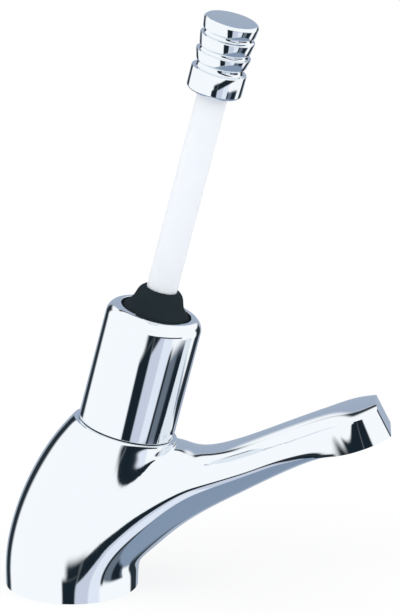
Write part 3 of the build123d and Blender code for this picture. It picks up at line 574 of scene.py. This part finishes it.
def sharpen_casting(piece):
    """Creases the deck's edge, the rim, and the spout's edges towards its end."""
    start, full = SPOUT_STATIONS[SHARP_FROM][0], SPOUT_STATIONS[SHARP_FULL][0]
    mesh = piece.data
    crease = mesh.attributes.get("crease_edge") or mesh.attributes.new("crease_edge", "FLOAT", "EDGE")
    row_of, column_of = mesh.attributes["row"].data, mesh.attributes["column"].data
    for edge in mesh.edges:
        ends = [mesh.vertices[i] for i in edge.vertices]
        rows = {row_of[v.index].value for v in ends}
        corner = all(abs(column_of[v.index].value) == SPOUT_COLUMNS for v in ends)
        nearest = min(v.co.x for v in ends)
        middle = (ends[0].co.x + ends[1].co.x) / 2
        sharp = crease.data[edge.index]
        if all(v.co.z < ON_DECK for v in ends):
            sharp.value = 1.0
        elif rows == {RIM_RING}:
            sharp.value = RIM_CREASE
        elif rows == {ROOT_RINGS[1]} and (corner or nearest > END_CREST):
            sharp.value = fade(middle - CREST_FROM, CREST_FADE)
        elif rows == {ROOT_RINGS[0]} and middle > start * MM and (corner or nearest > END_KEEL):
            sharp.value = max(LEAST_CREASE, fade(middle - start * MM, (full - start) * MM))


def wrap_tower(piece):
    """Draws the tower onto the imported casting, but not its deck face, its foot or the spout."""
    group = piece.vertex_groups.new(name="tower")
    for vertex in piece.data.vertices:
        x, z = vertex.co.x, vertex.co.z
        share = fade(WRAP_END - x, WRAP_FADE) * fade(z - WRAP_BOTTOM, WRAP_FADE)
        group.add([vertex.index], share, "REPLACE")
    apply_modifier(piece, "SHRINKWRAP", target=frame["nodes"]["body_casting"],
                   wrap_method="NEAREST_SURFACEPOINT", vertex_group="tower")


def soften_root(piece, rounds):
    """Smooths the casting where the spout leaves the tower."""
    group = piece.vertex_groups.new(name="root")
    for vertex in piece.data.vertices:
        x, z = vertex.co.x, vertex.co.z
        inside = fade(x - ROOT_START, ROOT_FADE) * fade(ROOT_END - x, ROOT_FADE)
        below = fade(ROOT_CEILING - z, ROOT_RISE) * fade(z - ROOT_FLOOR, ROOT_FADE)
        group.add([vertex.index], inside * below, "REPLACE")
    apply_modifier(piece, "SMOOTH", factor=SMOOTHING, iterations=rounds, vertex_group="root")


def bore(name, radius, bottom, top, place=None):
    """A round cutter from one level to another along its own Z axis, stood at its place."""
    cutter = fresh(bpy.ops.mesh.primitive_cylinder_add, name, vertices=BORE_SIDES, radius=radius,
                   depth=top - bottom, location=(0, 0, (top + bottom) / 2))
    settle(cutter, place)
    return cutter


def cut(piece, cutter):
    """Cuts one piece with another and throws the cutter away."""
    apply_modifier(piece, "BOOLEAN", operation="DIFFERENCE", solver="EXACT", object=cutter)
    bpy.data.objects.remove(cutter)


def soft_outline(points, steps):
    """More points on a smooth line through the given ones."""
    line = []
    for number in range(len(points) - 1):
        before, start = points[max(number - 1, 0)], points[number]
        end, after = points[number + 1], points[min(number + 2, len(points) - 1)]
        for step in range(steps):
            t = step / steps
            weights = (-0.5 * t + t * t - 0.5 * t ** 3, 1 - 2.5 * t * t + 1.5 * t ** 3,
                       0.5 * t + 2 * t * t - 1.5 * t ** 3, -0.5 * t * t + 0.5 * t ** 3)
            around = list(zip(weights, (before, start, end, after)))
            line.append(tuple(sum(weight * point[i] for weight, point in around) for i in (0, 1)))
    return line + [points[-1]]


def radius_at(outline, level):
    """Radius of a falling outline at a level."""
    for (r1, z1), (r2, z2) in zip(outline, outline[1:]):
        if z2 <= level <= z1:
            return r1 + (r2 - r1) * (z1 - level) / (z1 - z2)
    raise ValueError(f"the outline doesn't reach the level {level}")


def new_material(name, colour, metallic, roughness):
    """A material with its plain values on the shader."""
    made = bpy.data.materials.new(name)
    made.use_nodes = True
    shader = made.node_tree.nodes["Principled BSDF"]
    shader.inputs["Base Color"].default_value = (*colour, 1)
    shader.inputs["Metallic"].default_value = metallic
    shader.inputs["Roughness"].default_value = roughness
    return made, shader


def pattern(made, kind, scale, stretch=(1, 1, 1), turned=(0, 0, 0), **inputs):
    """A texture on the piece's own coordinates."""
    tree = made.node_tree
    coordinates = tree.nodes.new("ShaderNodeTexCoord")
    mapping = tree.nodes.new("ShaderNodeMapping")
    mapping.inputs["Scale"].default_value = stretch
    mapping.inputs["Rotation"].default_value = turned
    texture = tree.nodes.new(kind)
    texture.inputs["Scale"].default_value = scale
    for name, value in inputs.items():
        texture.inputs[name].default_value = value
    tree.links.new(coordinates.outputs["Object"], mapping.inputs["Vector"])
    tree.links.new(mapping.outputs["Vector"], texture.inputs["Vector"])
    return texture.outputs["Fac"]


def vary(made, shader, socket, source, low, high, start=0.3, end=0.7):
    """Lets a pattern move a value of the shader between two limits."""
    spread = made.node_tree.nodes.new("ShaderNodeMapRange")
    for name, value in (("From Min", start), ("From Max", end), ("To Min", low), ("To Max", high)):
        spread.inputs[name].default_value = value
    made.node_tree.links.new(source, spread.inputs["Value"])
    made.node_tree.links.new(spread.outputs["Result"], shader.inputs[socket])


def tint(made, shader, source, dark, light, start=0.3, end=0.7):
    """Lets a pattern move the colour between two colours."""
    ramp = made.node_tree.nodes.new("ShaderNodeValToRGB")
    ramp.color_ramp.elements[0].position, ramp.color_ramp.elements[1].position = start, end
    ramp.color_ramp.elements[0].color, ramp.color_ramp.elements[1].color = (*dark, 1), (*light, 1)
    made.node_tree.links.new(source, ramp.inputs["Fac"])
    made.node_tree.links.new(ramp.outputs["Color"], shader.inputs["Base Color"])


def relief(made, shader, source, depth, strength=1.0):
    """Bump of a depth in metres from a pattern."""
    bump = made.node_tree.nodes.new("ShaderNodeBump")
    bump.inputs["Strength"].default_value = strength
    bump.inputs["Distance"].default_value = depth
    made.node_tree.links.new(source, bump.inputs["Height"])
    made.node_tree.links.new(bump.outputs["Normal"], shader.inputs["Normal"])


def darker(colour, share):
    """A colour times a share."""
    return tuple(value * share for value in colour)


def polished_chrome(name, colour, waviness):
    """Chrome plate: faint wipe marks in the gloss and the slight unevenness of what lies under it."""
    made, shader = new_material(name, colour, 1.0, CHROME_ROUGHNESS)
    wipes = pattern(made, "ShaderNodeTexNoise", 220.0, stretch=(1, 1, 0.25), turned=(0.4, 0.2, 0), Detail=6.0)
    vary(made, shader, "Roughness", wipes, *CHROME_WIPES)
    swell = pattern(made, "ShaderNodeTexNoise", 45.0, Detail=1.0)
    relief(made, shader, swell, waviness)
    return made


def turned_metal(name, colour, roughness, lines):
    """Turned metal: fine rings from the tool along the leaning axis."""
    made, shader = new_material(name, colour, 1.0, roughness)
    rings = pattern(made, "ShaderNodeTexWave", lines, turned=(0, -HEAD_TILT, 0), Distortion=0.6, Detail=2.0)
    made.node_tree.nodes["Wave Texture"].bands_direction = "Z"
    vary(made, shader, "Roughness", rings, roughness * 0.7, roughness * 1.3, 0.0, 1.0)
    stain = pattern(made, "ShaderNodeTexNoise", 160.0, Detail=5.0)
    tint(made, shader, stain, darker(colour, 0.8), colour)
    relief(made, shader, rings, 0.01 * MM, 0.3)
    return made


def moulded(name, colour, roughness, grain, depth, shade=0.85):
    """Moulded rubber or plastic: a fine grain and slightly uneven colour."""
    made, shader = new_material(name, colour, 0.0, roughness)
    skin = pattern(made, "ShaderNodeTexNoise", grain, Detail=8.0)
    vary(made, shader, "Roughness", skin, roughness * 0.85, min(1.0, roughness * 1.15))
    cloud = pattern(made, "ShaderNodeTexNoise", 90.0, Detail=3.0)
    tint(made, shader, cloud, darker(colour, shade), colour)
    relief(made, shader, skin, depth)
    return made, shader


def rod_plastic(name, colour):
    """Milky plastic that lets a little light in."""
    made, shader = moulded(name, colour, *ROD_SKIN)
    shader.inputs["Specular IOR Level"].default_value = ROD_SPECULAR
    shader.inputs["Subsurface Weight"].default_value = ROD_GLOW
    shader.inputs["Subsurface Radius"].default_value = ROD_GLOW_REACH
    shader.inputs["Subsurface Scale"].default_value = ROD_GLOW_DEPTH
    shader.inputs["IOR"].default_value = ROD_IOR
    return made


def boot_rubber(name, colour):
    """Dull black rubber."""
    made, shader = moulded(name, colour, *BOOT_SKIN)
    shader.inputs["Specular IOR Level"].default_value = BOOT_SPECULAR
    return made


def finish(slot):
    """The material of one of the record's slots, made once. The frame's own one gives up the name."""
    known = bpy.data.materials.get(slot)
    if known and known.get(FINISHED):
        return known
    if known:
        known.name = PLAIN + slot
    made = make_finish(slot)
    made[FINISHED] = True
    return made


def make_finish(slot):
    """A new material for one of the record's slots."""
    colours = bpy.context.scene.tap_finish
    if slot in CHROME_WAVES:
        return polished_chrome(slot, tuple(colours.chrome), CHROME_WAVES[slot])
    if slot == "rod_plastic":
        return rod_plastic(slot, tuple(colours.rod))
    if slot == "boot_rubber":
        return boot_rubber(slot, tuple(colours.rubber))
    if slot in TURNED_METALS:
        return turned_metal(slot, *TURNED_METALS[slot])
    return moulded(slot, *MOULDED[slot])[0]


def dress(piece, slot):
    """Gives a new piece the finish of a slot."""
    piece.data.materials.clear()
    piece.data.materials.append(finish(slot))


def hand_over(piece, body, slot, node):
    """A finished piece takes its node's place and moves with its body."""
    dress(piece, slot)
    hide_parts(node)
    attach(piece, body)


def calculate(tree, operation, *sources):
    """One math node on values or outputs."""
    node = tree.nodes.new("ShaderNodeMath")
    node.operation = operation
    for place, source in zip(node.inputs, sources):
        if isinstance(source, (int, float)):
            place.default_value = source
        else:
            tree.links.new(source, place)
    return node.outputs[0]


def mix(tree, share, first, second):
    """Mixes two colours, each a value or an output."""
    node = tree.nodes.new("ShaderNodeMix")
    node.data_type = "RGBA"
    tree.links.new(share, node.inputs["Factor"])
    for place, source in ((node.inputs[COLOUR_A], first), (node.inputs[COLOUR_B], second)):
        if isinstance(source, tuple):
            place.default_value = (*source, 1)
        else:
            tree.links.new(source, place)
    return node.outputs[COLOUR_MADE]


def window(tree, source, low, high, soft):
    """One between two angles in degrees and zero outside, with soft ends."""
    ends = []
    for start, end in ((low - soft / 2, low + soft / 2), (high + soft / 2, high - soft / 2)):
        node = tree.nodes.new("ShaderNodeMapRange")
        node.interpolation_type = "SMOOTHSTEP"
        node.inputs["From Min"].default_value = math.radians(start)
        node.inputs["From Max"].default_value = math.radians(end)
        tree.links.new(source, node.inputs["Value"])
        ends.append(node.outputs["Result"])
    return calculate(tree, "MULTIPLY", *ends)


def light_boxes(scene, strength):
    """A white studio whose dark and tinted patches the chrome reflects."""
    world = bpy.data.worlds.new("studio")
    scene.world = world
    world.use_nodes = True
    tree = world.node_tree
    background = tree.nodes["Background"]
    split = tree.nodes.new("ShaderNodeSeparateXYZ")
    tree.links.new(tree.nodes.new("ShaderNodeTexCoord").outputs["Generated"], split.inputs[0])
    x, y, z = split.outputs
    round_angle = calculate(tree, "ARCTAN2", x, calculate(tree, "MULTIPLY", y, -1.0))
    height = calculate(tree, "ARCSINE", z)
    studio = WHITE
    for _, colour, across, upright in STUDIO_PATCHES:
        sides = window(tree, round_angle, *across), window(tree, height, *upright)
        patch = calculate(tree, "MULTIPLY", *sides)
        studio = mix(tree, patch, studio, colour)
    seen = tree.nodes.new("ShaderNodeLightPath").outputs["Is Camera Ray"]
    tree.links.new(mix(tree, seen, studio, WHITE), background.inputs["Color"])
    background.inputs["Strength"].default_value = strength


def backdrop():
    """A pale floor that runs on behind the tap to fill the frame."""
    floor = fresh(bpy.ops.mesh.primitive_plane_add, "backdrop", size=FLOOR_SIZE, location=(0, 0, 0))
    made, shader = new_material("backdrop", FLOOR_COLOURS[1], 0.0, 0.9)
    cloud = pattern(made, "ShaderNodeTexNoise", 3.0, Detail=2.0)
    tint(made, shader, cloud, *FLOOR_COLOURS)
    tree = made.node_tree
    glow = tree.nodes.new("ShaderNodeEmission")
    both = tree.nodes.new("ShaderNodeMixShader")
    output = next(node for node in tree.nodes if node.type == "OUTPUT_MATERIAL")
    seen = tree.nodes.new("ShaderNodeLightPath").outputs["Is Camera Ray"]
    tree.links.new(calculate(tree, "MULTIPLY", seen, FLOOR_GLOW), both.inputs["Fac"])
    tree.links.new(shader.outputs["BSDF"], both.inputs[1])
    tree.links.new(glow.outputs["Emission"], both.inputs[2])
    tree.links.new(both.outputs["Shader"], output.inputs["Surface"])
    floor.data.materials.append(made)
    floor.visible_glossy = False


def lamp(name, place, size, power):
    """A soft square lamp that looks at the tap."""
    bpy.ops.object.select_all(action="DESELECT")
    bpy.ops.object.light_add(type="AREA", location=place)
    light = bpy.context.object
    light.name = name
    light.data.size, light.data.energy = size, power
    light.rotation_euler = (LAMPS_LOOK_AT - Vector(place)).to_track_quat("-Z", "Y").to_euler()
    light.visible_glossy = light.visible_camera = False


def camera(scene, elevation, distance):
    """A long lens that puts the middle of the deck where the photograph has it."""
    right = (PHOTO[0] / 2 - PHOTO_ORIGIN[0]) / PHOTO_SCALE * MM
    above = (PHOTO_ORIGIN[1] - PHOTO[1] / 2) / PHOTO_SCALE * MM
    up = Vector((0, math.sin(elevation), math.cos(elevation)))
    ahead = Vector((0, math.cos(elevation), -math.sin(elevation)))
    target = Vector((right, 0, 0)) + up * above
    bpy.ops.object.select_all(action="DESELECT")
    bpy.ops.object.camera_add(location=target - ahead * distance)
    eye = bpy.context.object
    eye.rotation_euler = ahead.to_track_quat("-Z", "Y").to_euler()
    eye.data.lens = eye.data.sensor_width * distance / (PHOTO[1] / PHOTO_SCALE * MM)
    eye.data.clip_start, eye.data.clip_end = NEAREST, 3 * distance
    scene.camera = eye


def bore_casting(piece, outlet_radius):
    """Cuts the hollow, the threads' holes, the head's chamber, the waterway and the outlet."""
    hollow = bore("hollow", HOLLOW[0], 0, HOLLOW[1])
    for x, radius in DECK_BOSSES:
        stand = Matrix.Translation((x * MM, 0, 0))
        cut(hollow, bore("boss", radius * MM, -2 * OVERRUN, HOLLOW[1] + OVERRUN, stand))
    groove = bore("groove", GASKET_GROOVE[0], -OVERRUN, GASKET_GROOVE[2])
    cut(groove, bore("core", GASKET_GROOVE[1], -2 * OVERRUN, 2 * OVERRUN))
    cutters = [hollow, groove]
    for x, radius, depth in DECK_BORES:
        stand = Matrix.Translation((x * MM, 0, 0))
        cutters.append(bore("deck_bore", radius * MM, -OVERRUN, depth * MM, stand))
    for radius, bottom, top in HEAD_BORES:
        cutters.append(bore("head_bore", radius * MM, bottom * MM, top * MM, LEAN))
    start, end, radius = WATERWAY
    run = end - start
    along = Matrix.Translation(start) @ run.to_track_quat("Z", "Y").to_matrix().to_4x4()
    cutters.append(bore("waterway", radius, 0, run.length, along))
    cutters.append(bore("outlet", outlet_radius, -OVERRUN, OUTLET_DEPTH, OUTLET))
    for cutter in cutters:
        cut(piece, cutter)


class TAP_OT_casting(bpy.types.Operator):
    """Tower and spout in one smooth chrome casting, with its bores"""

    bl_idname = "tap.casting"
    bl_label = "Casting"

    def execute(self, context):
        sizes = context.scene.tap_casting
        piece = casting_cage()
        sharpen_casting(piece)
        apply_modifier(piece, "SUBSURF", levels=1, render_levels=1)
        wrap_tower(piece)
        soften_root(piece, sizes.blend)
        apply_modifier(piece, "SUBSURF", levels=sizes.smoothness, render_levels=sizes.smoothness)
        bore_casting(piece, sizes.outlet_radius)
        smooth(piece)
        hand_over(piece, "housing", "body_chrome", "body_casting")
        return {"FINISHED"}


class TAP_OT_sleeve(bpy.types.Operator):
    """Turned chrome sleeve with a rounded upper edge and the boot's opening"""

    bl_idname = "tap.sleeve"
    bl_label = "Sleeve"

    def execute(self, context):
        sizes = context.scene.tap_head
        outer, edge, mouth, lip = sizes.sleeve_radius, sizes.sleeve_edge, sizes.opening, sizes.sleeve_lip
        outline = [(SLEEVE_BORE, SLEEVE_FOOT), (outer, SLEEVE_FOOT)]
        outline += arc((outer - edge, SLEEVE_TOP - edge), edge, 0, 90, EDGE_STEPS)
        outline += [(mouth, SLEEVE_TOP), (mouth, SLEEVE_TOP - lip), (SLEEVE_BORE, SLEEVE_TOP - lip)]
        piece = turn("sleeve", outline, SLEEVE_SIDES)
        round_edges(piece, sizes.fine_edge, SHARP)
        smooth(piece)
        settle(piece, LEAN)
        hand_over(piece, "housing", "sleeve_chrome", "collar_sleeve")
        return {"FINISHED"}


def boot_band(outside, low, high, wall):
    """Outer and inner side of the boot between two levels, from the top down. The lowest has a flange."""
    band = [point for point in outside if low < point[1] < high]
    if low > 0:
        band.append((radius_at(outside, low), low))
    if high < BOOT_TOP:
        band.insert(0, (radius_at(outside, high), high))
    inside = [(max(radius - wall, BOOT_NECK), level) for radius, level in band]
    if high > BOOT_TOP:
        rim = band[0][1]
        inside[0] = (BOOT_NECK, rim)
        inside.insert(1, (BOOT_NECK, rim - wall))
        inside = [point for point in inside if point[0] > BOOT_NECK or point[1] >= rim - wall]
    if low == 0:
        radius, bottom = band[-1]
        band += [(BOOT_FLANGE, bottom), (BOOT_FLANGE, bottom - BOOT_FLANGE_HEIGHT)]
        inside.append((radius - wall, bottom - BOOT_FLANGE_HEIGHT))
    return band, inside


class TAP_OT_boot(bpy.types.Operator):
    """Rubber bell boot in three bands"""

    bl_idname = "tap.boot"
    bl_label = "Boot"

    def execute(self, context):
        wall = context.scene.tap_head.boot_wall
        side = [(radius * MM, BOOT_TOP - down * MM) for down, radius in BOOT_SIDE]
        outside = soft_outline(side, BOOT_STEPS)
        levels = (0.0, *BOOT_CUTS, BOOT_TOP + MM)
        for (name, body_a, body_b), low, high in zip(BOOT_BANDS, levels, levels[1:]):
            band, inside = boot_band(outside, low, high, wall)
            piece = turn(name, band + inside[::-1], BOOT_SIDES)
            smooth(piece, SMOOTH_SOFT)
            settle(piece, LEAN)
            dress(piece, "boot_rubber")
            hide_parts("boot")
            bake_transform(piece)
        return {"FINISHED"}


class TAP_OT_lever(bpy.types.Operator):
    """White plastic rod"""

    bl_idname = "tap.lever"
    bl_label = "Rod"

    def execute(self, context):
        radius = context.scene.tap_lever.rod_radius
        outline = [
            (SPIGOT_RADIUS, ROD_BOTTOM),
            (radius, ROD_BOTTOM),
            (radius, ROD_TOP),
            (STUD_RADIUS, ROD_TOP),
            (STUD_RADIUS, ROD_TOP - STUD_DEPTH),
            (0, ROD_TOP - STUD_DEPTH),
            (0, ROD_BOTTOM + SPIGOT_DEPTH),
            (SPIGOT_RADIUS, ROD_BOTTOM + SPIGOT_DEPTH),
        ]
        piece = turn("rod", outline, ROD_SIDES)
        round_edges(piece, ROD_EDGE, SHARP)
        smooth(piece)
        settle(piece, LEAN)
        hand_over(piece, "lever", "rod_plastic", "lever_rod")
        return {"FINISHED"}


class TAP_OT_knob(bpy.types.Operator):
    """Turned chrome knob with barbed ribs"""

    bl_idname = "tap.knob"
    bl_label = "Knob"

    def execute(self, context):
        sizes = context.scene.tap_lever
        length = KNOB_TOP - KNOB_BOTTOM
        side = [(sizes.knob_radius * across, KNOB_TOP - length * down) for down, across in KNOB_SHARES]
        outline = [
            (0, KNOB_TOP),
            (sizes.knob_radius - KNOB_BREAK, KNOB_TOP),
            (sizes.knob_radius, KNOB_TOP - KNOB_BREAK),
            *side,
            (sizes.knob_radius, KNOB_BOTTOM + KNOB_BREAK),
            (sizes.knob_radius - KNOB_BREAK, KNOB_BOTTOM),
            (sizes.rod_radius, KNOB_BOTTOM),
            (sizes.rod_radius, ROD_TOP),
            (STUD_RADIUS, ROD_TOP),
            (STUD_RADIUS, ROD_TOP + STUD_DEPTH),
            (0, ROD_TOP + STUD_DEPTH),
        ]
        piece = turn("knob", outline, KNOB_SIDES, closed=False)
        round_edges(piece, sizes.knob_edge, FINE)
        smooth(piece, SMOOTH_KNOB)
        settle(piece, LEAN)
        hand_over(piece, "lever", "knob_chrome", "lever_knob")
        return {"FINISHED"}


class TAP_OT_spring(bpy.types.Operator):
    """Return spring of round wire, wound by a screw"""

    bl_idname = "tap.spring"
    bl_label = "Return spring"

    def execute(self, context):
        sizes = context.scene.tap_spring
        room = PISTON_BOTTOM - GUIDE_TOP - sizes.wire - 2 * SPRING_REST
        start = (sizes.radius, 0, GUIDE_TOP + SPRING_REST + sizes.wire / 2)
        piece = fresh(bpy.ops.mesh.primitive_circle_add, "spring", vertices=WIRE_SIDES, radius=sizes.wire / 2,
                      location=start, rotation=(math.pi / 2, 0, 0))
        settle(piece)
        apply_modifier(piece, "SCREW", angle=2 * math.pi, screw_offset=room / sizes.turns,
                       iterations=sizes.turns, steps=COIL_STEPS, render_steps=COIL_STEPS, axis="Z")
        bpy.ops.object.mode_set(mode="EDIT")
        bpy.ops.mesh.select_all(action="SELECT")
        bpy.ops.mesh.fill_holes(sides=0)
        bpy.ops.mesh.normals_make_consistent(inside=False)
        bpy.ops.object.mode_set(mode="OBJECT")
        smooth(piece, SMOOTH_SOFT)
        settle(piece, LEAN)
        hand_over(piece, "housing", "spring_steel", "return_spring")
        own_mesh(piece)
        return {"FINISHED"}


class TAP_OT_fittings(bpy.types.Operator):
    """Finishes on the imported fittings: cartridge, seals, barrel, ball, aerator and filter"""

    bl_idname = "tap.fittings"
    bl_label = "Fittings"

    def execute(self, context):
        stood_for = {"body_casting", "collar_sleeve", "boot", "lever_rod", "lever_knob", "return_spring"}
        for row in frame["record"]["subparts"]:
            if row["node"] in stood_for:
                continue
            node = frame["nodes"][row["node"]]
            made = finish(row["material_slot"])
            if not node.material_slots:
                node.data.materials.append(made)
            for place in node.material_slots:
                place.material = made
        return {"FINISHED"}


class TAP_OT_studio(bpy.types.Operator):
    """Pale floor, light boxes, lamps and the camera"""

    bl_idname = "tap.studio"
    bl_label = "Studio"

    def execute(self, context):
        sizes = context.scene.tap_studio
        backdrop()
        light_boxes(context.scene, sizes.strength)
        for name, place, size, share in LAMPS:
            lamp(name, place, size, sizes.lamp_power * share)
        camera(context.scene, sizes.elevation, sizes.distance)
        context.scene.view_settings.view_transform = "Standard"
        return {"FINISHED"}


class TAP_PT_panel(bpy.types.Panel):
    """Lists the tap's pieces and their sizes"""

    bl_idname = "TAP_PT_panel"
    bl_label = "Basin Tap"
    bl_space_type = "VIEW_3D"
    bl_region_type = "UI"
    bl_category = "Tap"

    def draw(self, context):
        layout = self.layout
        for settings, operators in PANEL_ROWS:
            box = layout.box()
            group = getattr(context.scene, settings)
            for name in group.__annotations__:
                box.prop(group, name)
            for operator in operators:
                box.operator(operator)


SETTINGS = {
    "tap_casting": TapCastingSettings,
    "tap_head": TapHeadSettings,
    "tap_lever": TapLeverSettings,
    "tap_spring": TapSpringSettings,
    "tap_finish": TapFinishSettings,
    "tap_studio": TapStudioSettings,
}
OPERATORS = (
    TAP_OT_casting,
    TAP_OT_sleeve,
    TAP_OT_boot,
    TAP_OT_lever,
    TAP_OT_knob,
    TAP_OT_spring,
    TAP_OT_fittings,
    TAP_OT_studio,
)
PANEL_ROWS = (
    ("tap_casting", ("tap.casting",)),
    ("tap_head", ("tap.sleeve", "tap.boot")),
    ("tap_lever", ("tap.lever", "tap.knob")),
    ("tap_spring", ("tap.spring",)),
    ("tap_finish", ("tap.fittings",)),
    ("tap_studio", ("tap.studio",)),
)


def register():
    """Registers the settings, the operators and the panel."""
    for name, kind in SETTINGS.items():
        bpy.utils.register_class(kind)
        setattr(bpy.types.Scene, name, bpy.props.PointerProperty(type=kind))
    for kind in (*OPERATORS, TAP_PT_panel):
        bpy.utils.register_class(kind)


def unregister():
    """Takes everything out again, last first."""
    for kind in (TAP_PT_panel, *reversed(OPERATORS)):
        bpy.utils.unregister_class(kind)
    for name, kind in reversed(SETTINGS.items()):
        delattr(bpy.types.Scene, name)
        bpy.utils.unregister_class(kind)


def main():
    """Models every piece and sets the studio."""
    register()
    bpy.ops.tap.casting()
    bpy.ops.tap.sleeve()
    bpy.ops.tap.boot()
    bpy.ops.tap.lever()
    bpy.ops.tap.knob()
    bpy.ops.tap.spring()
    bpy.ops.tap.fittings()
    bpy.ops.tap.studio()


if __name__ == "__main__":
    main()
